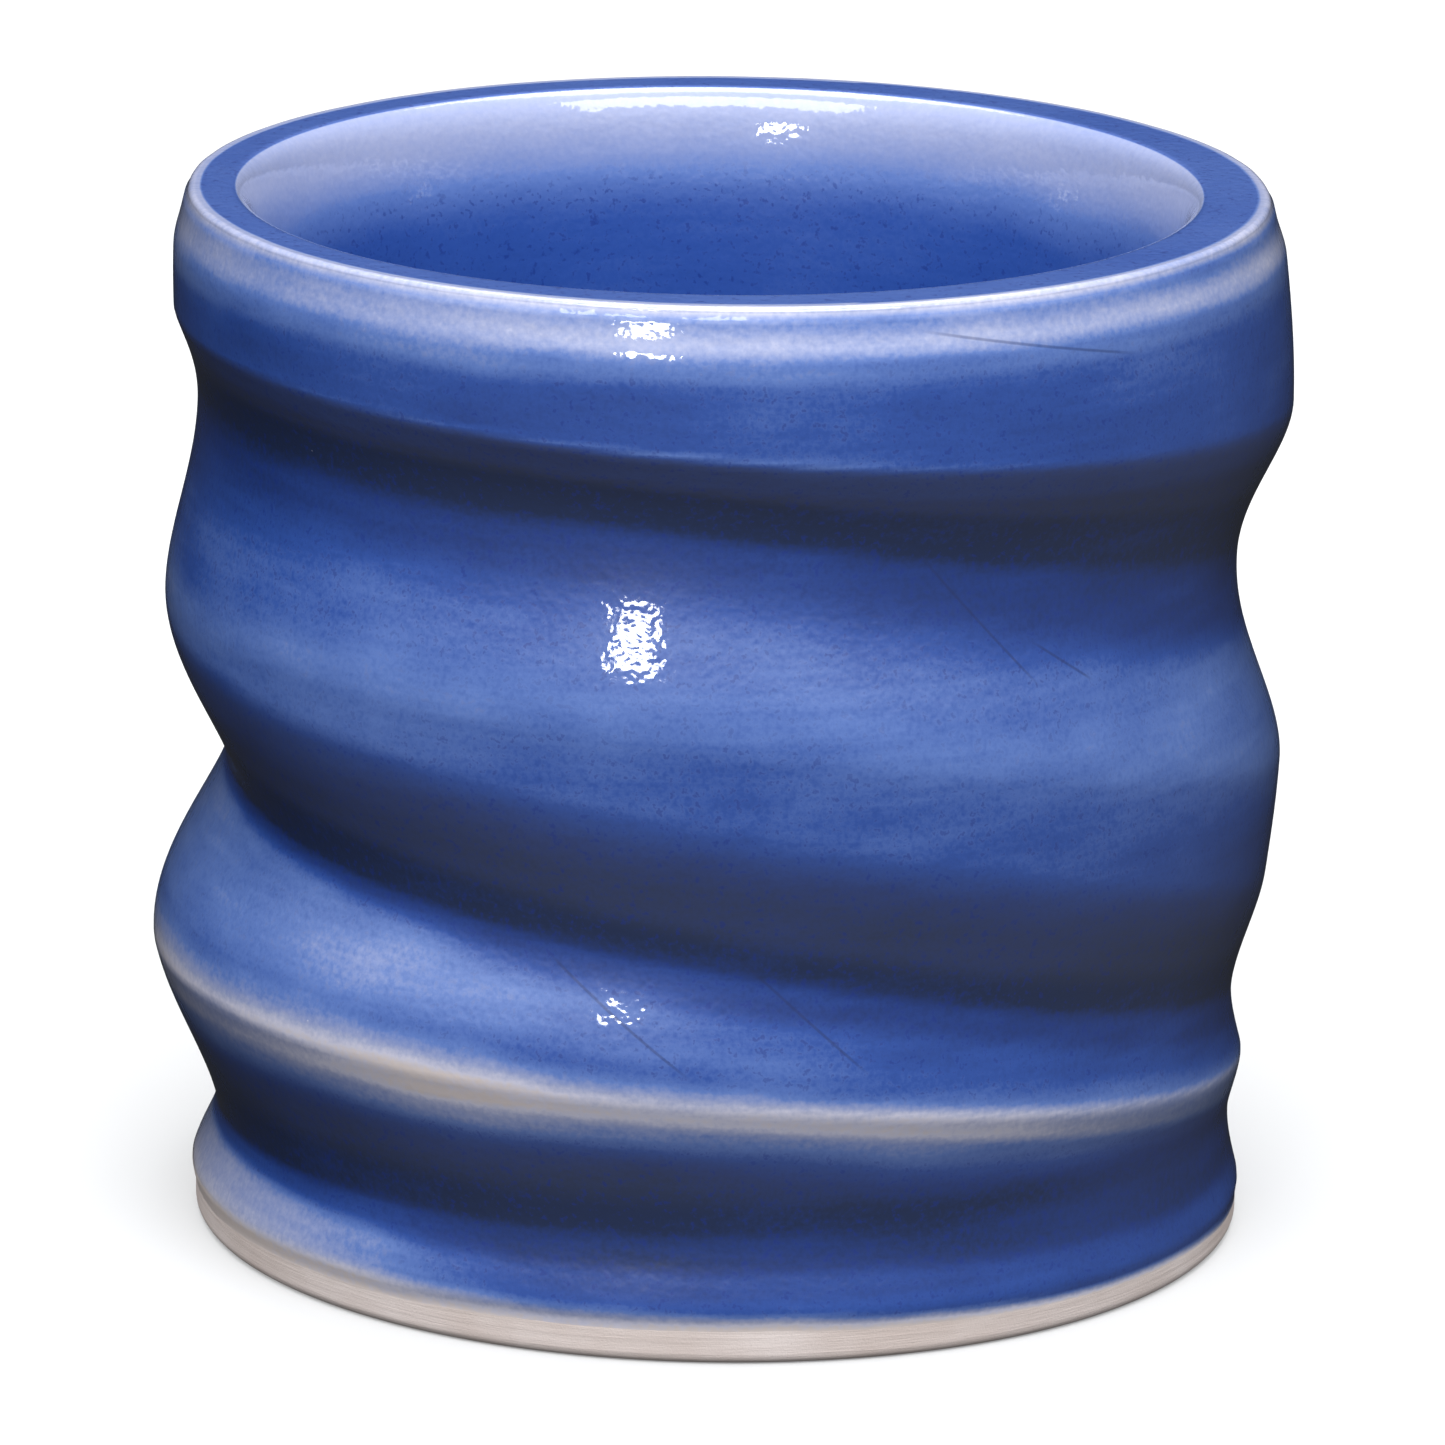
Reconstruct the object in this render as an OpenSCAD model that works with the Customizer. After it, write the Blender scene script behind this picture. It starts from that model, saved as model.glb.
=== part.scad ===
// Hand-thrown ceramic shaving mug without a handle.
// A finger groove winds down round the thick wall, from under the lip to just above the foot, and
// leaves three bulging bands for a wet hand to hold. The inside is a smooth tapering well.
// The fired clay body is one piece. The outside glaze and the liner glaze are two coats on it,
// which meet at the outer corner of the rim.
// Frame: +Z up, the origin at the middle of the base, the front towards -Y.

/* [Body] */
// Height from the base to the top of the rim
height = 85; // [80:1:90]
// Outer radius of the rim, over the glaze
rim_r = 43.4; // [42:0.1:45]
// Outer radius of the wall at the base
foot_r = 43.2; // [42:0.1:44]
// How far the bands bulge beyond a straight wall
belly = 2.6; // [1:0.1:3.5]

/* [Well] */
// Inner radius at the rim, over the glaze
mouth_r = 37.7; // [36:0.1:38.5]
// Inner radius at the throat, a little below the rim
throat_r = 35.9; // [34:0.1:36.5]
// Inner radius just above the floor's curve
bottom_r = 34.6; // [32:0.1:36]
// Height of the throat under the rim
throat_drop = 11; // [8:0.5:16]
// How far the well lies off centre, to the left
well_shift = 0.8; // [0:0.1:1]
// Height of the inside floor above the base, over the glaze
floor_z = 8; // [6:0.1:12]
// Radius of the curve between the wall and the floor
floor_curve = 11; // [6:0.5:14]
// Rounding of the lip's inner edge
lip_round = 1.6; // [0.8:0.1:2]

/* [Foot] */
// Depth of the shallow recess turned in the base
recess_depth = 1.2; // [0.5:0.1:2]
// Radius of the recess
recess_r = 34; // [20:1:36]
// Rounding of the outer bottom edge
edge_round = 0.6; // [0.4:0.1:0.7]

/* [Glaze] */
// Thickness of each glaze coat
glaze_t = 0.5; // [0.3:0.05:0.7]
// Mean height of the bare clay band at the foot
bare_band = 2.0; // [1.8:0.1:4]
// How far the glaze line rises and falls round the foot
line_tilt = 0.7; // [0:0.1:1]
// Where the glaze line is highest, in degrees round from the front
line_high = -20; // [-180:5:180]

/* [Hidden] */

// Facets round the mug, and rows of facets up the glazed wall
sides = 60;
rows = 46;

// How the wall bulges along its height, as
// [share of the height, share of belly, how much more on the left and less on the right]
BULGE = [
    [0, 0, 0],
    [0.1, 0.05, 0],
    [0.25, 0.58, 0.5],
    [0.45, 0.73, 0],
    [0.62, 0.7, 0],
    [0.82, 0.62, -0.22],
    [0.945, 0.46, -0.04],
    [0.975, 0.2, 0],
    [1, 0, 0]
];

// The finger groove, from its start at the back, down and round to its end above the foot.
// 0 is the front and 90 the right, and each 360 is one more turn down. The rows hold
// [turn in degrees, height, depth, reach above, reach below, edge softness, bottom roundness].
GROOVE = [
    [-200, 70.0, 0.0, 9, 12, 1.6, 2.0],
    [-90, 67.0, 1.9, 8.5, 15, 1.2, 2.0],
    [-45, 66.8, 2.5, 7.8, 15, 1.2, 1.9],
    [0, 66.0, 3.1, 7, 16, 1.2, 1.8],
    [90, 55.5, 3.9, 13, 17, 2.0, 2.0],
    [180, 46.5, 4.4, 13, 16, 2.0, 1.8],
    [270, 39.2, 5.1, 13, 15.4, 2.0, 1.5],
    [360, 31.9, 2.0, 13, 10.2, 2.0, 1.5],
    [450, 19.2, 1.6, 10, 9, 2.0, 1.7],
    [540, 13.5, 2.2, 10, 9, 1.5, 1.8],
    [630, 9.8, 2.5, 13.4, 7, 1.2, 1.7],
    [720, 10.6, 1.4, 10.7, 7, 1.1, 1.8],
    [810, 9.0, 1.6, 5.5, 9, 1.6, 2.0],
    [920, 8.0, 0.0, 5, 6, 2.0, 2.0]
];

// Smooth curve through the rows of a table, read at x in column col
function row_below(table, x, i = 0) =
    i >= len(table) - 2 || x < table[i + 1][0] ? i : row_below(table, x, i + 1);
function slope_at(table, i, col) =
    let (a = max(i - 1, 0), b = min(i + 1, len(table) - 1))
    (table[b][col] - table[a][col]) / (table[b][0] - table[a][0]);
function curve(table, x, col) =
    let (
        i = row_below(table, x),
        span = table[i + 1][0] - table[i][0],
        t = min(max((x - table[i][0]) / span, 0), 1),
        m0 = slope_at(table, i, col) * span,
        m1 = slope_at(table, i + 1, col) * span
    )
    table[i][col] * (2 * t * t * t - 3 * t * t + 1) + m0 * (t * t * t - 2 * t * t + t)
    + table[i + 1][col] * (3 * t * t - 2 * t * t * t) + m1 * (t * t * t - t * t);

// The groove where it crosses the wall at angle a, once for each turn, as GROOVE rows
function crossings(a) = [
    for (turn = [a - 360, a, a + 360, a + 720])
        if (turn > GROOVE[0][0] && turn < GROOVE[len(GROOVE) - 1][0])
            [for (col = [0:6]) curve(GROOVE, turn, col)]
];

// How far one crossing presses in the wall at height z, and how far they all do
function press(crossing, z) =
    let (
        t = z - crossing[1],
        reach = t > 0 ? crossing[3] : crossing[4],
        u = min(abs(t) / reach, 1),
        softness = t > 0 ? crossing[5] : 2
    )
    crossing[2] * pow(1 - pow(u, crossing[6]), softness);
function pressed(at_angle, z, i = 0) =
    i == len(at_angle) ? 0 : press(at_angle[i], z) + pressed(at_angle, z, i + 1);

// Radius of the clay's outer surface at angle a and height z, where at_angle is its crossings
function clay_r(a, at_angle, z) =
    let (
        share = z / height,
        bulge = curve(BULGE, share, 1) - curve(BULGE, share, 2) * sin(a)
    )
    foot_r + (rim_r - foot_r) * share + belly * bulge - glaze_t - pressed(at_angle, z);

angles = [for (i = [0:sides - 1]) -180 + 360 * i / sides];
groove_at = [for (a = angles) crossings(a)];
glaze_line = [for (a = angles) bare_band + line_tilt * cos(a - line_high)];
clay_top = height - glaze_t;

// A ring of points round the mug: share is how far up it is from the glaze line to the clay's top
function row_z(i, share) = glaze_line[i] + (clay_top - glaze_line[i]) * share;
function point(i, r, z) = [r * sin(angles[i]), -r * cos(angles[i]), z];
function wall_ring(share, out = 0, up = 0) = [
    for (i = [0:sides - 1])
        let (z = row_z(i, share)) point(i, clay_r(angles[i], groove_at[i], z) + out, z + up)
];
function edge_ring(in, z) = [
    for (i = [0:sides - 1]) point(i, clay_r(angles[i], groove_at[i], edge_round) - in, z)
];

// A skin over rings of points, one above the other. A looped skin runs from the last ring back to
// the first, and one that isn't looped has a flat face at each end.
module skin(rings, looped = false) {
    count = len(rings);
    n = len(rings[0]);
    last = looped ? count - 1 : count - 2;
    walls = [
        for (j = [0:last], i = [0:n - 1])
            let (
                k = (j + 1) % count,
                m = (i + 1) % n,
                a = j * n + i, b = j * n + m, c = k * n + m, d = k * n + i
            )
            each [[a, c, b], [a, d, c]]
    ];
    ends = looped ? [] : [
        [for (i = [0:n - 1]) i],
        [for (i = [n - 1:-1:0]) (count - 1) * n + i]
    ];
    polyhedron(
        points = [for (ring = rings) each ring],
        faces = looped ? [for (f = walls) [f[0], f[2], f[1]]] : concat(ends, walls),
        convexity = 8
    );
}

// Outline of the well from the mouth down to its middle, at a distance out into the wall
well_top = height - lip_round;
function well_side(out) =
    let (
        low = floor_z + floor_curve,
        throat = height - throat_drop,
        WELL = [
            [low, bottom_r],
            [(low + throat) / 2, (bottom_r + throat_r) / 2 + 0.6],
            [throat, throat_r],
            [well_top, mouth_r - 0.25]
        ]
    )
    [for (s = [0:24]) let (z = low + (well_top - low) * s / 24) [curve(WELL, z, 1) + out, z]];
function arc(centre, r, from, to, steps = 10) = [
    for (s = [0:steps])
        let (t = from + (to - from) * s / steps) centre + r * [cos(t), sin(t)]
];
function well_outline(out) = concat(
    [[0, floor_z - out]],
    arc([bottom_r - floor_curve, floor_z + floor_curve], floor_curve + out, -90, -5),
    well_side(out),
    arc([mouth_r - 0.25 + lip_round, well_top], lip_round - out, 180, 90)
);

module well(out, top) {
    outline = well_outline(out);
    end = outline[len(outline) - 1];
    translate([-well_shift, 0, 0])
        rotate_extrude($fn = 96)
            polygon(concat(outline, [[end[0], top], [0, top]]));
}

// The fired clay: thick wall, floor and bare foot, thrown from one lump
module clay_body() {
    color([0.85, 0.79, 0.75])
        difference() {
            skin(concat(
                [edge_ring(edge_round, 0), edge_ring(edge_round * 0.3, edge_round * 0.3)],
                [edge_ring(0, edge_round)],
                [for (s = [0:rows]) wall_ring(s / rows)]
            ));
            well(glaze_t, height + 1);
            translate([0, 0, -1]) cylinder(r = recess_r, h = recess_depth + 1, $fn = 96);
        }
}

// The outside coat, from the glaze line above the bare foot to the outer corner of the rim
module outer_glaze() {
    color([0.16, 0.29, 0.62])
        skin(concat(
            [for (s = [0:rows]) wall_ring(s / rows)],
            [wall_ring(1, 0, glaze_t), wall_ring(1, glaze_t, glaze_t)],
            [for (s = [rows - 1:-1:1]) wall_ring(s / rows, glaze_t)],
            [wall_ring(0, glaze_t, glaze_t)]
        ), looped = true);
}

// The liner coat: the floor, the well's wall and the flat top of the rim
module inner_glaze() {
    color([0.22, 0.36, 0.70])
        difference() {
            union() {
                well(glaze_t, clay_top);
                translate([0, 0, clay_top])
                    linear_extrude(glaze_t) polygon([for (p = wall_ring(1)) [p[0], p[1]]]);
            }
            well(0, height + 1);
        }
}

clay_body();
outer_glaze();
inner_glaze();
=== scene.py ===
"""A handleless ceramic shaving mug with a helical finger groove: cobalt-blue glaze over pale clay."""

import math

import bpy
import numpy as np
from mathutils import Matrix, Vector
from mathutils.bvhtree import BVHTree


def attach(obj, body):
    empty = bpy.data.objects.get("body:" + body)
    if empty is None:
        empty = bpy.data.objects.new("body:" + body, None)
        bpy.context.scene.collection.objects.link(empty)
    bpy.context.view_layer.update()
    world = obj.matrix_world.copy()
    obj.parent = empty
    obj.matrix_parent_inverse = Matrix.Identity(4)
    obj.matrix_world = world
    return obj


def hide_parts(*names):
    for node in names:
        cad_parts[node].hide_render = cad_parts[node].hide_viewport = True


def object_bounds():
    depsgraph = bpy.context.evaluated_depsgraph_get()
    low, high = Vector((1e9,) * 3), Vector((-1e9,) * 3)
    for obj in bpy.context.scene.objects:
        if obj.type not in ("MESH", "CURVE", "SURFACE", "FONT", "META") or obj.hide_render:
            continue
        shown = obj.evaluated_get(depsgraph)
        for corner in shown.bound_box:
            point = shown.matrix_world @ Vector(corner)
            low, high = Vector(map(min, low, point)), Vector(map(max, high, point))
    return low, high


MM = 0.001
SEED = 11

# Mesh density: columns round the mug and rows up each surface
COLUMNS = 300
WALL_ROWS = 190
HIDDEN_ROWS = 24

# Shape, in metres
COAT = 0.5 * MM             # thickness of each glaze coat, as in the CAD
FIT = 0.02 * MM             # gap that keeps hidden faces apart
SHARP = 60                  # degrees between faces from which an edge isn't smoothed
RIM_ROUND = 0.5 * MM        # rounding of the rim's outer corner
RIM_WOBBLE = 0.10 * MM      # unevenness of that corner
EDGE_ROLL = 1.8 * MM        # height over which the coat swells from nothing at the glaze line
LINE_WANDER = 0.20 * MM     # how unevenly the glaze line runs
FADE = 3.0 * MM             # height over which the clay shows through above the line, at the front
FADE_LEAN = 0.7             # and the share more of it on the left and less on the right
LIP_DEPTH = 4.0 * MM        # how far down the rounding of the lip's inner edge reaches
LIP_WIDTH = 2.3 * MM        # and how far across
FLOOR_CURVE = 11 * MM       # curve between the well's wall and floor
LIP_PULL = 0.62             # share of LIP_DEPTH over which the lip keeps the wall's slope
LIP_LEVEL = 0.55            # share of LIP_WIDTH over which it comes out level
WELL_HUB = 0.4 * MM         # radius of the small flat at the middle of each floor
FOOT_ROUND = 0.9 * MM       # rounding of the foot's outer edge
RECESS_R = 34 * MM          # the recess under the base
RECESS_DEPTH = 1.2 * MM

# The outer wall: its radius at the foot and the rim, and how far its bands bulge beyond a straight
# line between them. The tables are the CAD's own, so that the smooth wall runs where its facets do.
FOOT_R = 43.2 * MM
RIM_R = 43.4 * MM
BELLY = 2.6 * MM
# [share of the height, share of belly, how much more on the left and less on the right]
BULGE = (
    (0, 0, 0), (0.1, 0.05, 0), (0.25, 0.58, 0.5), (0.45, 0.73, 0), (0.62, 0.7, 0),
    (0.82, 0.62, -0.22), (0.945, 0.46, -0.04), (0.975, 0.2, 0), (1, 0, 0),
)
# The finger groove, from its start at the back, down and round to its end above the foot:
# [turn in degrees, height, depth, reach above, reach below, edge softness, bottom roundness]
GROOVE = (
    (-200, 70.0, 0.0, 9, 12, 1.6, 2.0),
    (-90, 67.0, 1.9, 8.5, 15, 1.2, 2.0),
    (-45, 66.8, 2.5, 7.8, 15, 1.2, 1.9),
    (0, 66.0, 3.1, 7, 16, 1.2, 1.8),
    (90, 55.5, 3.9, 13, 17, 2.0, 2.0),
    (180, 46.5, 4.4, 13, 16, 2.0, 1.8),
    (270, 39.2, 5.1, 13, 15.4, 2.0, 1.5),
    (360, 31.9, 2.0, 13, 10.2, 2.0, 1.5),
    (450, 19.2, 1.6, 10, 9, 2.0, 1.7),
    (540, 13.5, 2.2, 10, 9, 1.5, 1.8),
    (630, 9.8, 2.5, 13.4, 7, 1.2, 1.7),
    (720, 10.6, 1.4, 10.7, 7, 1.1, 1.8),
    (810, 9.0, 1.6, 5.5, 9, 1.6, 2.0),
    (920, 8.0, 0.0, 5, 6, 2.0, 2.0),
)

# Camera, in heights of the mug, and where it looks
CAMERA_BACK = 9.674
CAMERA_UP = 3.119
CAMERA_PITCH = 0.26668      # radians below level
CAMERA_ROLL = 0.01342       # radians
CAMERA_LENS = 261.8         # millimetres, on a sensor 36 mm wide
SENSOR = 36.0

# Light: the surround's brightness low down and high up in front, and what is left of it behind
SKY_LOW = 0.18
SKY_HIGH = 1.6
SKY_BACK = 0.12
SKY_EDGE = (0.15, 0.50)     # heights of a direction between which the surround brightens
SKY_FRONT = (-0.9, 0.5)     # how squarely a direction faces the front, from the back's level to full
SKY_LOW_TURN = 20           # which way the bright side faces low down, in degrees to the right
SKY_HIGH_TURN = 0         # and high up

# Lights: [name, degrees to the right of the front, degrees up, width, height, power]
LIGHTS = (
    ("window", -16, 17, 0.17, 0.055, 0.75),
    ("strip", 2, 48, 1.2, 0.42, 9.0),
    ("ceiling", 180, 76, 0.8, 0.8, 8.5),
)
LIGHT_DISTANCE = 1.0

# Glaze: the share of it that is missing, from 0 where it pools to 1 on bare clay
EVEN_COAT = 0.35
RIM_BREAK = 0.74            # on the corner of the rim
# and how much each thing that the wall does adds to that share on the outside: the up-facing slopes' share
# is painted light, the downward-facing undersides' share painted shade, and the bulges' share thinner
# glaze with a painted sheen
THIN_AND_SHADING_SHARES = {
    "bulge": 0.16, "lit_shelf": 0.18, "shaded_overhang": -0.28, "hollow": -0.16,
    "edge": 0.04, "edge of the top band": 0.12, "edge of the lowest ridge": 0.38,
    "below an edge": 0.04, "below the lowest ridge": 0.85, "above the lowest ridge": -0.16,
    "above the foot": -0.10, "left of the foot": 0.26, "shoulder of the rim": 0.26,
}
UNDERSIDE_SHADE_SHARE = 0.50                 # how much painted shade, a grey film standing in for a dark reflection, lies on a downward-facing underside

# Where each of those comes in: from none at the first value to all at the second
EDGE_BEND = (0.05, 0.13)    # bends outwards, per millimetre
BULGE_BEND = (0.0, 0.05)
HOLLOW_BEND = (0.005, 0.06)             # and a bend inwards
SHADED_OVERHANG_LEAN = (-0.08, 0.30)           # how much wider the wall gets upwards, where the painted shade comes in
# painted light comes in where the wall leans in upwards this steeply
LIT_SHELF_LEAN = (-0.20, -0.42)
BULGE_HEIGHT = (62 * MM, 54 * MM)
TOP_BAND_HEIGHT = (64 * MM, 68 * MM)
RIDGE_HEIGHT = (36 * MM, 33 * MM)
FOOT_HEIGHT = (14 * MM, 7 * MM)
HAZE_RISE = (9 * MM, 2 * MM)            # above the glaze line
SHOULDER_DROP = (7.5 * MM, 1.5 * MM)    # below the rim
RIM_DROP = (0.8 * MM, 0.1 * MM)
LEFT = (-0.2, -1.0)                     # how far round, as a sine
SIDES = (0.3, 0.9)
# The reach over which each bend is judged, in millimetres
EDGE_REACH = 0.9
HOLLOW_REACH = 1.6
BULGE_REACH = 2.6

# Inside: what the lip, the depth of the well and the flat rim add; the lip's pale band is thinner glaze
# and a painted reflection
LIP_THIN_AND_REFLECTION = 0.34
LIP_DROP = (11 * MM, 2 * MM)
WELL_THINNER = -0.10
WELL_DROP = (20 * MM, 60 * MM)
RIM_THINNER = 0.05

# Colours of the glaze by its missing share, and of what lies in it or on it
GLAZE_COLOURS = (
    (0.00, (0.006, 0.018, 0.070)),
    (0.18, (0.009, 0.034, 0.180)),
    (0.35, (0.019, 0.066, 0.300)),
    (0.52, (0.095, 0.172, 0.450)),
    (0.72, (0.320, 0.355, 0.540)),
    (0.88, (0.580, 0.570, 0.680)),
    (1.00, (0.640, 0.560, 0.530)),
)
# painted shade: the grey film laid on downward-facing undersides
UNDERSIDE_SHADE_COLOUR = (0.038, 0.050, 0.105)
SPECK = (0.003, 0.020, 0.180)
PINHOLE = (0.60, 0.62, 0.75)
SCRATCH = (0.010, 0.022, 0.100)
PINHOLE_RADIUS = 0.13 * MM
SCRATCH_WIDTH = (0.05 * MM, 0.16 * MM)  # half of it, at full strength and where it ends

# Fine scratches in the glaze, each from one place to another: degrees from the front, millimetres up
HAIRLINES = (
    (20, 65.5, 35, 53), (34, 57, 42, 53), (-19, 33.5, -2, 23.5), (1, 34, 16, 23.5), (19, 83, 46, 79),
)


# ---------------------------------------------------------------- reading the CAD

def node_vertices(name):
    """Every vertex of a CAD node, as rows of x, y, z."""
    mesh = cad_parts[name].data
    flat = np.zeros(len(mesh.vertices) * 3)
    mesh.vertices.foreach_get("co", flat)
    return flat.reshape(-1, 3)


def glaze_line():
    """Height of the outer coat's lower edge at each column."""
    points = node_vertices("outer_glaze")
    azimuth = np.arctan2(points[:, 0], -points[:, 1])
    turns = np.unique(np.round(azimuth, 2))
    lows = [points[np.abs(azimuth - turn) < 0.02, 2].min() for turn in turns]
    return np.interp(AZIMUTH, turns, lows, period=2 * math.pi)


def well_axis():
    """The middle of the well, halfway between its walls at mid height."""
    left, right = (well_hit(Vector((0, 0, 0.5 * HEIGHT)), Vector((s, 0, 0))) for s in (-1, 1))
    return Vector(((left.x + right.x) / 2, 0, 0))


def well_hit(start, direction):
    return WELL_TREE.ray_cast(start, direction)[0]


# ---------------------------------------------------------------- helpers for shape

def smooth(edge_a, edge_b, x):
    """0 at edge_a, 1 at edge_b, and smooth between them."""
    t = np.clip((x - edge_a) / (edge_b - edge_a), 0, 1)
    return t * t * (3 - 2 * t)


def wander(seed, low, high, slope=1.0):
    """An uneven line round the mug, about 1 high: waves from low to high to a turn."""
    rng = np.random.default_rng(SEED + seed)
    total = np.zeros(COLUMNS)
    for waves in range(low, high + 1):
        total += rng.normal() * np.cos(waves * AZIMUTH + rng.uniform(0, 2 * math.pi)) / waves ** slope
    return total / np.abs(total).max()


def blur_rows(grid, reach):
    """grid blurred up and down by a bell curve, with reach in rows."""
    span = int(3 * reach)
    bell = np.exp(-0.5 * (np.arange(-span, span + 1) / reach) ** 2)
    bell /= bell.sum()
    padded = np.pad(grid, ((span, span), (0, 0)), mode="edge")
    return sum(w * padded[k:k + len(grid)] for k, w in enumerate(bell))


def shifted(grid, rows):
    """grid moved up by whole rows, or down if rows is negative."""
    return np.roll(grid, rows, axis=0)


def ring_points(radius, height, centre=(0, 0)):
    """Points from grids of radius and height, by row and column or with one column for all."""
    x = centre[0] + radius * np.sin(AZIMUTH)
    y = centre[1] - radius * np.cos(AZIMUTH)
    return np.stack([x, y, height + 0 * x], axis=-1)


def skin(name, rings, layers, loop=False):
    """A closed mesh over rings of points, with layers of numbers for its material, by name.
    A loop joins its last ring to its first, and otherwise each end closes on a middle point."""
    rows, columns = rings.shape[:2]
    points = list(map(tuple, rings.reshape(-1, 3)))
    values = {layer: list(grid.reshape(-1)) for layer, grid in layers.items()}
    faces = []
    for j in range(rows if loop else rows - 1):
        k = (j + 1) % rows
        for i in range(columns):
            m = (i + 1) % columns
            faces.append((j * columns + i, j * columns + m, k * columns + m, k * columns + i))
    if not loop:
        for row, turn in ((0, 1), (rows - 1, -1)):
            points.append(tuple(rings[row].mean(axis=0)))
            for layer, grid in layers.items():
                values[layer].append(float(grid[row].mean()))
            middle = len(points) - 1
            for i in range(columns):
                a, b = row * columns + i, row * columns + (i + 1) % columns
                faces.append((middle, b, a)[::turn])
    mesh = bpy.data.meshes.new(name)
    mesh.from_pydata(points, [], faces)
    mesh.validate()
    for layer, numbers in values.items():
        mesh.attributes.new(layer, "FLOAT", "POINT").data.foreach_set("value", numbers)
    mesh.shade_smooth()
    mesh.set_sharp_from_angle(angle=math.radians(SHARP))
    piece = bpy.data.objects.new(name, mesh)
    bpy.context.scene.collection.objects.link(piece)
    return piece


# ---------------------------------------------------------------- the pieces

def curve(table, x, column):
    """A smooth curve through one column of a table, read at x."""
    rows = np.array(table)
    knots, values = rows[:, 0], rows[:, column]
    before = np.clip(np.arange(len(rows)) - 1, 0, None)
    after = np.clip(np.arange(len(rows)) + 1, None, len(rows) - 1)
    slopes = (values[after] - values[before]) / (knots[after] - knots[before])
    i = np.clip(np.searchsorted(knots, x, side="right") - 1, 0, len(rows) - 2)
    span = knots[i + 1] - knots[i]
    t = np.clip((x - knots[i]) / span, 0, 1)
    start = values[i] * (2 * t ** 3 - 3 * t ** 2 + 1) + slopes[i] * span * (t ** 3 - 2 * t ** 2 + t)
    return start + values[i + 1] * (3 * t ** 2 - 2 * t ** 3) + slopes[i + 1] * span * (t ** 3 - t ** 2)


def groove_depth(height):
    """How far the groove presses in the wall at each point, in millimetres."""
    total = np.zeros_like(height)
    degrees = (np.degrees(AZIMUTH) + 180) % 360 - 180
    for turn in (degrees - 360, degrees, degrees + 360, degrees + 720):
        middle, depth, above, under, edge, bottom = (curve(GROOVE, turn, k) for k in range(1, 7))
        depth = np.where((turn > GROOVE[0][0]) & (turn < GROOVE[-1][0]), depth, 0)
        rise = height / MM - middle
        reach = np.where(rise > 0, above, under)
        power = np.where(rise > 0, edge, 2)
        total += depth * (1 - np.minimum(np.abs(rise) / reach, 1) ** bottom) ** power
    return total


def outer_wall():
    """The coat's outer face as radius and height grids, from the glaze line to the rim's corner."""
    line = glaze_line()
    height = line + (HEIGHT - line) * np.linspace(0, 1, WALL_ROWS)[:, None]
    share = height / HEIGHT
    bulge = curve(BULGE, share, 1) - curve(BULGE, share, 2) * np.sin(AZIMUTH)
    straight = FOOT_R + (RIM_R - FOOT_R) * share
    return straight + BELLY * bulge - groove_depth(height) * MM - FIT, height


def bend(radius, height, reach):
    """How sharply the wall bulges outwards at each point, per millimetre, over reach millimetres."""
    step = (height[-1] - height[0]) / (WALL_ROWS - 1)
    rows = reach * MM / step.mean()
    soft = blur_rows(radius, rows)
    return blur_rows(-np.gradient(np.gradient(soft, axis=0), axis=0) / step ** 2 * MM, rows / 2)


def glaze_layers(radius, height, line):
    """The outer coat's missing share, with its painted light and shade, and the painted grey film on its
    undersides, at each point of the wall.
    """
    turn = np.sin(AZIMUTH)
    lean = np.gradient(radius, axis=0) / np.gradient(height, axis=0)
    edge = shifted(smooth(*EDGE_BEND, bend(radius, height, EDGE_REACH)), -2)
    below = shifted(blur_rows(edge, 4), -5)
    above = shifted(blur_rows(edge, 2), 7) * (1 - edge)
    bulge = smooth(*BULGE_BEND, bend(radius, height, BULGE_REACH))
    # painted light: paler on steep up-facing slopes, away from the bulges
    lit_shelf = smooth(*LIT_SHELF_LEAN, lean) * (1 - bulge)
    hollow = smooth(*HOLLOW_BEND, -bend(radius, height, HOLLOW_REACH)) * (1 - lit_shelf)
    # painted shade: darker, under a grey film, where the wall faces down
    shaded_overhang = smooth(*SHADED_OVERHANG_LEAN, lean)
    left = smooth(*LEFT, turn)
    ridge = smooth(*RIDGE_HEIGHT, height) * (1 - 0.5 * smooth(*SIDES, np.abs(turn)))
    found = {
        # paler on the upper bulges: thinner glaze, and a painted sheen
        "bulge": bulge * smooth(*BULGE_HEIGHT, height),
        "lit_shelf": lit_shelf,
        "shaded_overhang": shaded_overhang,
        "hollow": hollow,
        "edge": edge,
        "edge of the top band": edge * smooth(*TOP_BAND_HEIGHT, height),
        "edge of the lowest ridge": edge * ridge,
        "below an edge": below,
        "below the lowest ridge": below * ridge,
        "above the lowest ridge": above * ridge,
        # darker towards the foot, less so on the left
        "above the foot": (1 - left) * smooth(*FOOT_HEIGHT, height),
        "left of the foot": left * smooth(*HAZE_RISE, height - line),
        "shoulder of the rim": smooth(*SHOULDER_DROP, height[-1] - height),
    }
    thin_and_painted_shading = EVEN_COAT + sum(THIN_AND_SHADING_SHARES[name] * grid for name, grid in found.items())
    # the clay shows through just above the line, and the glaze breaks at the rim's corner
    rise = np.maximum(height - line, 0) / (FADE * (1 - FADE_LEAN * turn))
    thin_and_painted_shading = np.maximum(thin_and_painted_shading, 1 - smooth(0, 1, rise) ** 0.8)
    thin_and_painted_shading = np.maximum(thin_and_painted_shading, RIM_BREAK * smooth(*RIM_DROP, height[-1] - height))
    return thin_and_painted_shading, UNDERSIDE_SHADE_SHARE * shaded_overhang * (1 - hollow) * (1 - below * ridge)


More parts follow.
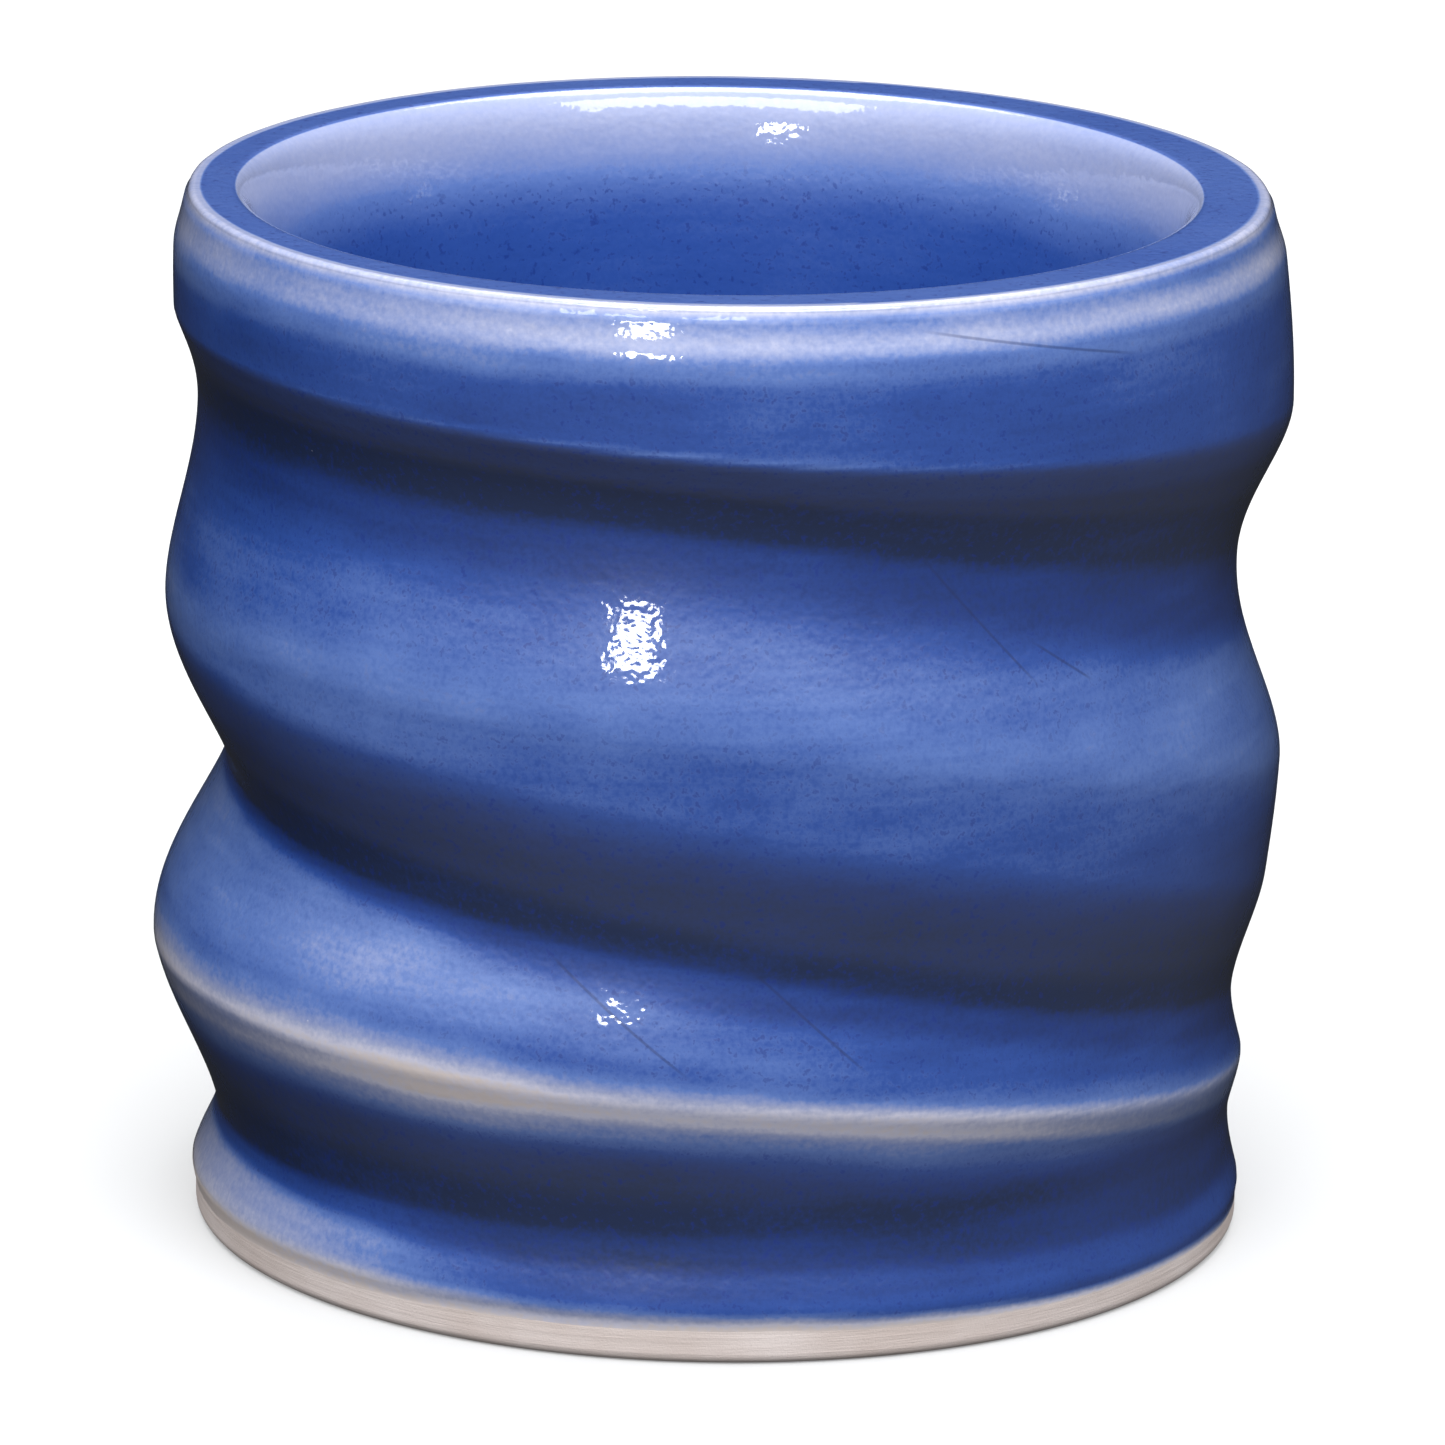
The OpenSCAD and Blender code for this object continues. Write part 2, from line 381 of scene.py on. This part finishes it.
def make_outer_glaze(radius, height):
    """The outside's coat over the wall, and the rim's edge: its radius at each column."""
    line = height[0] + LINE_WANDER * wander(2, 3, 40, 0.7)
    thin_and_painted_shading, painted_underside_shade = glaze_layers(radius, height, line)
    top = height[-1]
    # the coat swells from nothing at its lower edge
    radius = radius - COAT * (1 - smooth(0, EDGE_ROLL, height - line))
    height = np.maximum(height, line)
    # the rim's corner
    body = [j for j in range(WALL_ROWS) if height[j].max() < HEIGHT - RIM_ROUND - 0.1 * MM]
    turn = np.linspace(0, math.pi / 2, 7)[:, None]
    uneven = radius[-1] - RIM_WOBBLE * (0.5 + 0.5 * wander(3, 6, 60, 0.5))
    corner_r = uneven - RIM_ROUND * (1 - np.cos(turn))
    corner_z = HEIGHT - RIM_ROUND * (1 - np.sin(turn))
    # and the hidden side, against the clay
    inner = np.linspace(0, 1, HIDDEN_ROWS)[:, None]
    hidden_z = (top - COAT) * (1 - inner) + line * inner
    hidden_r = clay_radius(hidden_z)
    hidden_r[0] = corner_r[-1]
    rings = np.vstack([
        ring_points(radius[body], height[body]),
        ring_points(corner_r, corner_z),
        ring_points(hidden_r, hidden_z),
    ])
    layers = {
        "thin_and_painted_shading": np.vstack([thin_and_painted_shading[body], np.full_like(corner_r, RIM_BREAK), np.ones_like(hidden_r)]),
        "painted_underside_shade": np.vstack([painted_underside_shade[body], np.zeros_like(corner_r), np.zeros_like(hidden_r)]),
    }
    return skin("outside_glaze_coat", rings, layers, loop=True), corner_r[-1]


def clay_radius(z):
    """The clay's outer face at heights z, given as [row, column]."""
    result = np.empty_like(z)
    for i in range(COLUMNS):
        result[:, i] = np.interp(z[:, i], WALL_Z[:, i], WALL_R[:, i]) - COAT
    return result


def well_profile(out=0.0):
    """The well from its floor's middle to the flat of the rim, as radius and height lists, at a
    distance out into the clay."""
    floor_z = well_hit(WELL_AXIS + Vector((0, 0, 0.5 * HEIGHT)), Vector((0, 0, -1))).z
    low = floor_z + FLOOR_CURVE
    high = HEIGHT - LIP_DEPTH
    levels = np.linspace(low, high, 60)
    hits = [well_hit(WELL_AXIS + Vector((0, 0, z)), Vector((0, 1, 0))) for z in levels]
    wall = np.polynomial.Polynomial.fit(levels, [hit.y for hit in hits], 4)
    turns = np.linspace(-math.pi / 2, 0, 24)
    bend_r = wall(low) - FLOOR_CURVE + FLOOR_CURVE * np.cos(turns)
    bend_z = low + FLOOR_CURVE * np.sin(turns)
    floor_r = np.linspace(WELL_HUB, bend_r[0], 26)[:-1]
    wall_z = np.linspace(low, high, 76)[1:]
    # the lip is one curve from the wall's slope to level
    start = np.array([wall(high), high])
    end = np.array([wall(high) + LIP_WIDTH, HEIGHT])
    pull = start + LIP_DEPTH * LIP_PULL * np.array([wall.deriv()(high), 1])
    t = np.linspace(0, 1, 26)[1:, None]
    level = end - np.array([LIP_WIDTH * LIP_LEVEL, 0])
    lip = start * (1 - t) ** 3 + 3 * pull * t * (1 - t) ** 2 + 3 * level * t ** 2 * (1 - t) + end * t ** 3
    radius = np.concatenate([floor_r, bend_r, wall(wall_z), lip[:, 0]])
    height = np.concatenate([np.full_like(floor_r, floor_z), bend_z, wall_z, lip[:, 1]])
    slope_r, slope_z = np.gradient(radius), np.gradient(height)
    length = np.hypot(slope_r, slope_z)
    return radius + out * slope_z / length, height - out * slope_r / length


def well_rings(out=0.0):
    """The well as rings from its floor's middle to the flat of the rim, at a distance out."""
    radius, height = well_profile(out)
    return ring_points(radius[:, None], height[:, None], WELL_AXIS)


def make_liner_glaze(rim_edge):
    """The inside's coat, over the floor, the well and the flat rim as far as rim_edge."""
    inside = well_rings()
    edge = ring_points(rim_edge, HEIGHT)
    share = np.linspace(0, 1, 14)[1:, None, None]
    flat = inside[-1] * (1 - share) + edge * share
    under = edge - Vector((0, 0, COAT))
    back = well_rings(COAT)[::-1]
    rings = np.vstack([inside, flat, under[None], back[:1] * 0.5 + under * 0.5, back])
    depth = HEIGHT - rings[:, :, 2]
    # paler near the lip: thinner glaze, and a painted reflection
    liner_coat_and_lip_reflection = EVEN_COAT + LIP_THIN_AND_REFLECTION * smooth(*LIP_DROP, depth) + WELL_THINNER * smooth(*WELL_DROP, depth)
    inwards = np.linalg.norm(rings[:, :, :2] - edge[None, :, :2], axis=2)
    on_rim = depth < 0.1 * MM
    liner_coat_and_lip_reflection = np.where(on_rim & (inwards > 0.6 * MM), EVEN_COAT + RIM_THINNER, liner_coat_and_lip_reflection)
    liner_coat_and_lip_reflection = np.where(on_rim, np.maximum(liner_coat_and_lip_reflection, RIM_BREAK * smooth(0.5 * MM, 0, inwards)), liner_coat_and_lip_reflection)
    return skin("liner_glaze_coat", rings[::-1], {"thin_and_painted_shading": liner_coat_and_lip_reflection[::-1], "painted_underside_shade": np.zeros_like(liner_coat_and_lip_reflection)})


def make_clay():
    """The clay: its base with the recess, the bare band, and what the two coats cover."""
    foot = float(np.median(CLAY_FOOT))
    under = [
        (WELL_HUB, RECESS_DEPTH), (RECESS_R * 0.5, RECESS_DEPTH), (RECESS_R - 1.2 * MM, RECESS_DEPTH),
        (RECESS_R - 0.5 * MM, RECESS_DEPTH * 0.8), (RECESS_R, RECESS_DEPTH * 0.25),
        (RECESS_R + 0.4 * MM, 0.0), (0.5 * (RECESS_R + foot), 0.0), (foot - 2 * FOOT_ROUND, 0.0),
    ]
    r = [np.full(COLUMNS, p[0]) for p in under]
    z = [np.full(COLUMNS, p[1]) for p in under]
    for turn in np.linspace(-math.pi / 2, 0, 8):
        r.append(CLAY_FOOT - FOOT_ROUND + FOOT_ROUND * math.cos(turn))
        z.append(np.full(COLUMNS, FOOT_ROUND + FOOT_ROUND * math.sin(turn)))
    covered = WALL_Z[0] + 2 * MM
    band = np.linspace(0, 1, 20)[1:, None]
    band_z = FOOT_ROUND + (covered - FOOT_ROUND) * band
    band_r = clay_radius(band_z)
    hidden = np.linspace(0, 1, HIDDEN_ROWS)[1:, None]
    hidden_z = covered * (1 - hidden) + (HEIGHT - COAT - FIT) * hidden
    hidden_r = clay_radius(hidden_z) - FIT
    outside = ring_points(np.vstack([r, band_r, hidden_r]), np.vstack([z, band_z, hidden_z]))
    return skin("fired_clay_body", np.vstack([outside, well_rings(COAT + FIT)[::-1]]), {})


# ---------------------------------------------------------------- materials

class Tree:
    """A node tree, with short calls to add and join nodes."""

    def __init__(self, tree):
        self.tree = tree

    def add(self, kind, **settings):
        node = self.tree.nodes.new(kind)
        for key, value in settings.items():
            setattr(node, key, value)
        return node

    def join(self, source, target):
        self.tree.links.new(source, target)

    def math(self, operation, a, b=0.0, c=0.0):
        node = self.add("ShaderNodeMath", operation=operation)
        for socket, value in zip(node.inputs, (a, b, c)):
            if isinstance(value, (int, float)):
                socket.default_value = value
            else:
                self.join(value, socket)
        return node.outputs[0]

    def spread(self, value, low, high, to_low=0.0, to_high=1.0):
        """value taken from low..high to to_low..to_high, smoothly and clamped."""
        node = self.add("ShaderNodeMapRange", interpolation_type="SMOOTHSTEP")
        self.join(value, node.inputs["Value"])
        for key, number in zip(("From Min", "From Max", "To Min", "To Max"), (low, high, to_low, to_high)):
            node.inputs[key].default_value = number
        return node.outputs["Result"]


class Nodes(Tree):
    """A new material's node tree."""

    def __init__(self, name):
        self.material = bpy.data.materials.new(name)
        self.material.use_nodes = True
        super().__init__(self.material.node_tree)
        self.shader = self.tree.nodes["Principled BSDF"]
        self.place = self.add("ShaderNodeTexCoord").outputs["Object"]

    def noise(self, scale, detail=2.0, roughness=0.5, stretch=(1, 1, 1)):
        """Noise with scale features to the metre, and more of them along an axis stretched above 1."""
        mapping = self.add("ShaderNodeMapping")
        mapping.inputs["Scale"].default_value = stretch
        self.join(self.place, mapping.inputs["Vector"])
        node = self.add("ShaderNodeTexNoise")
        self.join(mapping.outputs["Vector"], node.inputs["Vector"])
        node.inputs["Scale"].default_value = scale
        node.inputs["Detail"].default_value = detail
        node.inputs["Roughness"].default_value = roughness
        return node.outputs["Fac"]

    def attribute(self, name):
        return self.add("ShaderNodeAttribute", attribute_name=name).outputs["Fac"]

    def ramp(self, value, stops):
        node = self.add("ShaderNodeValToRGB")
        self.join(value, node.inputs["Fac"])
        band = node.color_ramp
        while len(band.elements) < len(stops):
            band.elements.new(0.5)
        for element, (position, colour) in zip(band.elements, stops):
            element.position = position
            element.color = (*colour, 1)
        return node.outputs["Color"]

    def mix(self, factor, colour, over):
        """colour, with the plain colour over laid on it by factor."""
        node = self.add("ShaderNodeMix", data_type="RGBA")
        self.join(factor, node.inputs[0])
        self.join(colour, node.inputs[6])
        node.inputs[7].default_value = (*over, 1)
        return node.outputs[2]

    def pinholes(self, scale, radius):
        """Small round dots, in about one in five of the cells of scale to the metre."""
        node = self.add("ShaderNodeTexVoronoi")
        self.join(self.place, node.inputs["Vector"])
        node.inputs["Scale"].default_value = scale
        dot = self.spread(node.outputs["Distance"], 0.5 * radius * scale, radius * scale, 0.8, 0.0)
        chance = self.add("ShaderNodeSeparateColor")
        self.join(node.outputs["Color"], chance.inputs[0])
        return self.math("MULTIPLY", dot, self.math("GREATER_THAN", chance.outputs[0], 0.8))

    def hairline(self, turn_a, z_a, turn_b, z_b):
        """A straight fine scratch between two places on the wall, each as degrees from the front
        and millimetres up."""
        split = self.add("ShaderNodeSeparateXYZ")
        self.join(self.place, split.inputs[0])
        turn = self.math("ARCTAN2", split.outputs[0], self.math("MULTIPLY", split.outputs[1], -1.0))
        across, up = math.radians(turn_b - turn_a) * RIM_R, (z_b - z_a) * MM
        length = math.hypot(across, up)
        round_by = self.math("MULTIPLY", self.math("SUBTRACT", turn, math.radians(turn_a)), RIM_R)
        up_by = self.math("SUBTRACT", split.outputs[2], z_a * MM)
        along = self.math("MULTIPLY_ADD", round_by, across / length,
                          self.math("MULTIPLY", up_by, up / length))
        aside = self.math("SUBTRACT", self.math("MULTIPLY", up_by, across / length),
                          self.math("MULTIPLY", round_by, up / length))
        narrow = self.spread(self.math("ABSOLUTE", aside), *SCRATCH_WIDTH, 0.5, 0.0)
        from_middle = self.math("ABSOLUTE", self.math("SUBTRACT", along, length / 2))
        return self.math("MULTIPLY", narrow, self.spread(from_middle, 0.3 * length, 0.5 * length, 1, 0))

    def bump(self, height, strength, distance, onto=None):
        node = self.add("ShaderNodeBump")
        node.inputs["Strength"].default_value = strength
        node.inputs["Distance"].default_value = distance
        self.join(height, node.inputs["Height"])
        if onto is not None:
            self.join(onto, node.inputs["Normal"])
        return node.outputs["Normal"]


def glaze_material(name, mottle, hairlines):
    """Cobalt glaze: deep where it pools, paler where the coat is thinner, and near white where it breaks
    on an edge, with painted shade on its undersides and painted light and sheen on its up-facing slopes
    and bulges.
    mottle is how strong its blotches and streaks are."""
    n = Nodes(name)
    blotch = n.noise(60, 3, 0.55, stretch=(1, 1, 2.2))
    streak = n.noise(60, 3, 0.6, stretch=(1, 1, 14))
    speckle = n.noise(1900, 2, 0.6)
    thin_and_painted_shading = n.attribute("thin_and_painted_shading")
    for pattern, weight in ((blotch, 0.28), (streak, 0.12), (speckle, 0.20)):
        thin_and_painted_shading = n.math("MULTIPLY_ADD", n.math("SUBTRACT", pattern, 0.5), weight * mottle, thin_and_painted_shading)
    # painted shade: the grey film on the undersides
    colour = n.mix(n.attribute("painted_underside_shade"), n.ramp(thin_and_painted_shading, GLAZE_COLOURS), UNDERSIDE_SHADE_COLOUR)
    specks = n.math("MULTIPLY", n.spread(speckle, 0.55, 0.70), n.spread(thin_and_painted_shading, 0.42, 0.62, 0.6, 0.0))
    colour = n.mix(specks, colour, SPECK)
    colour = n.mix(n.pinholes(130, PINHOLE_RADIUS), colour, PINHOLE)
    for hairline in hairlines:
        colour = n.mix(n.hairline(*hairline), colour, SCRATCH)
    n.join(colour, n.shader.inputs["Base Color"])
    n.shader.inputs["Roughness"].default_value = 0.38
    n.shader.inputs["IOR"].default_value = 1.45
    n.join(n.spread(n.attribute("thin_and_painted_shading"), 0.90, 1.0, 1.0, 0.0), n.shader.inputs["Coat Weight"])
    n.shader.inputs["Coat Roughness"].default_value = 0.05
    n.shader.inputs["Coat IOR"].default_value = 1.6
    swell = n.bump(n.noise(160, 2), 1.0, 0.03 * MM)
    peel = n.bump(n.noise(1200, 1, 0.5), 1.0, 0.030 * MM, onto=swell)
    n.join(peel, n.shader.inputs["Normal"])
    n.join(peel, n.shader.inputs["Coat Normal"])
    return n.material


def clay_material():
    """Bare fired clay: pale and matt, with fine grain and the turning tool's scratches."""
    n = Nodes("bare fired clay")
    patch = n.noise(90, 3, 0.6)
    lines = n.noise(70, 4, 0.7, stretch=(1, 1, 30))
    grain = n.noise(5200, 2, 0.7)
    colour = n.ramp(patch, [(0.3, (0.56, 0.47, 0.43)), (0.7, (0.68, 0.60, 0.57))])
    colour = n.mix(n.spread(lines, 0.35, 0.75, 0.0, 0.35), colour, (0.48, 0.40, 0.37))
    colour = n.mix(n.spread(grain, 0.62, 0.8, 0.0, 0.5), colour, (0.36, 0.29, 0.26))
    n.join(colour, n.shader.inputs["Base Color"])
    n.shader.inputs["Roughness"].default_value = 0.85
    n.shader.inputs["Specular IOR Level"].default_value = 0.25
    scratch = n.bump(lines, 0.6, 0.12 * MM)
    n.join(n.bump(grain, 0.5, 0.05 * MM, onto=scratch), n.shader.inputs["Normal"])
    return n.material


# ---------------------------------------------------------------- the studio

def make_camera():
    """The camera where the photograph's was."""
    data = bpy.data.cameras.new("camera")
    data.lens = CAMERA_LENS
    data.sensor_width = SENSOR
    data.clip_start = 0.01
    data.clip_end = 50
    camera = bpy.data.objects.new("camera", data)
    bpy.context.scene.collection.objects.link(camera)
    ahead = Vector((0, math.cos(CAMERA_PITCH), -math.sin(CAMERA_PITCH)))
    right = Vector((1, 0, 0))
    up = right.cross(ahead)
    turned = right * math.cos(CAMERA_ROLL) + up * math.sin(CAMERA_ROLL)
    above = up * math.cos(CAMERA_ROLL) - right * math.sin(CAMERA_ROLL)
    turn = Matrix((turned, above, -ahead)).transposed().to_4x4()
    place = Vector((0, -CAMERA_BACK * HEIGHT, CAMERA_UP * HEIGHT))
    camera.matrix_world = Matrix.Translation(place) @ turn
    bpy.context.scene.camera = camera


def make_floor():
    """A pale floor, which shines a little so that only the mug's soft shadow is darker than white."""
    bpy.ops.mesh.primitive_circle_add(vertices=96, radius=4, fill_type="NGON", location=(0, 0, -FIT))
    floor = bpy.context.object
    floor.name = "floor"
    n = Nodes("pale floor")
    n.shader.inputs["Base Color"].default_value = (0.5, 0.5, 0.5, 1)
    n.shader.inputs["Roughness"].default_value = 1.0
    n.shader.inputs["Specular IOR Level"].default_value = 0.0
    n.shader.inputs["Emission Color"].default_value = (1, 1, 1, 1)
    n.shader.inputs["Emission Strength"].default_value = 0.25
    floor.data.materials.append(n.material)
    floor.visible_diffuse = False
    floor.visible_glossy = False


def area_light(name, azimuth, elevation, width, height, power):
    """A soft rectangular light aimed at the mug. azimuth is 0 at the front and 90 to the right."""
    data = bpy.data.lights.new(name, "AREA")
    data.shape = "RECTANGLE"
    data.size = width
    data.size_y = height
    data.energy = power
    light = bpy.data.objects.new(name, data)
    bpy.context.scene.collection.objects.link(light)
    a, e = math.radians(azimuth), math.radians(elevation)
    way = Vector((math.sin(a) * math.cos(e), -math.cos(a) * math.cos(e), math.sin(e)))
    middle = Vector((0, 0, HEIGHT / 2))
    light.location = middle + way * LIGHT_DISTANCE
    light.rotation_euler = way.to_track_quat("Z", "Y").to_euler()


def make_sky():
    """A soft studio surround: dim below the horizon and behind, and bright high in front."""
    world = bpy.data.worlds.new("studio")
    bpy.context.scene.world = world
    world.use_nodes = True
    n = Tree(world.node_tree)
    background = world.node_tree.nodes["Background"]
    way = n.add("ShaderNodeTexCoord").outputs["Generated"]
    split = n.add("ShaderNodeSeparateXYZ")
    n.join(way, split.inputs[0])
    parts = []
    for brightness, turn, edge in ((SKY_LOW, SKY_LOW_TURN, (1, 0)), (SKY_HIGH, SKY_HIGH_TURN, (0, 1))):
        facing = n.add("ShaderNodeVectorMath", operation="DOT_PRODUCT")
        n.join(way, facing.inputs[0])
        a = math.radians(turn)
        facing.inputs[1].default_value = (math.sin(a), -math.cos(a), 0)
        front = n.spread(facing.outputs["Value"], *SKY_FRONT, SKY_BACK * brightness, brightness)
        parts.append(n.math("MULTIPLY", front, n.spread(split.outputs["Z"], *SKY_EDGE, *edge)))
    n.join(n.math("ADD", *parts), background.inputs["Strength"])
    background.inputs["Color"].default_value = (0.93, 0.96, 1.0, 1)
    seen = n.add("ShaderNodeBackground")
    seen.inputs["Color"].default_value = (1, 1, 1, 1)
    mix = n.add("ShaderNodeMixShader")
    n.join(n.add("ShaderNodeLightPath").outputs["Is Camera Ray"], mix.inputs["Fac"])
    n.join(background.outputs[0], mix.inputs[1])
    n.join(seen.outputs[0], mix.inputs[2])
    n.join(mix.outputs[0], world.node_tree.nodes["World Output"].inputs["Surface"])


# ---------------------------------------------------------------- the scene

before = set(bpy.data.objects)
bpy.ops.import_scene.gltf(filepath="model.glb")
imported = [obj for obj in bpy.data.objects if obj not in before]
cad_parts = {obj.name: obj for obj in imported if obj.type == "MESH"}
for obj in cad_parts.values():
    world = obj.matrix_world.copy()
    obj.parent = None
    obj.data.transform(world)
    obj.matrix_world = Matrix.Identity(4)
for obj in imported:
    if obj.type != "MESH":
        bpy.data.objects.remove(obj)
CAD_BOX = [list(corner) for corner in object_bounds()]
HEIGHT = CAD_BOX[1][2]
AZIMUTH = np.arange(COLUMNS) * 2 * math.pi / COLUMNS
WELL_TREE = BVHTree.FromObject(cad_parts["inner_glaze"], bpy.context.evaluated_depsgraph_get())
WELL_AXIS = well_axis()
WALL_R, WALL_Z = outer_wall()
CLAY_FOOT = WALL_R[0] - COAT

make_camera()
coat, rim_edge = make_outer_glaze(WALL_R, WALL_Z)
liner = make_liner_glaze(rim_edge)
clay = make_clay()
for piece, node, slot, material in (
    (coat, "outer_glaze", "outside_glaze", glaze_material("cobalt glaze outside", 1.0, HAIRLINES)),
    (liner, "inner_glaze", "liner_glaze", glaze_material("cobalt glaze inside", 0.4, ())),
    (clay, "clay_body", "bare_clay", clay_material()),
):
    piece.data.materials.append(material)
    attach(piece, "root")
    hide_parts(node)

make_floor()
make_sky()
for light in LIGHTS:
    area_light(*light)
bpy.context.scene.view_settings.view_transform = "Standard"
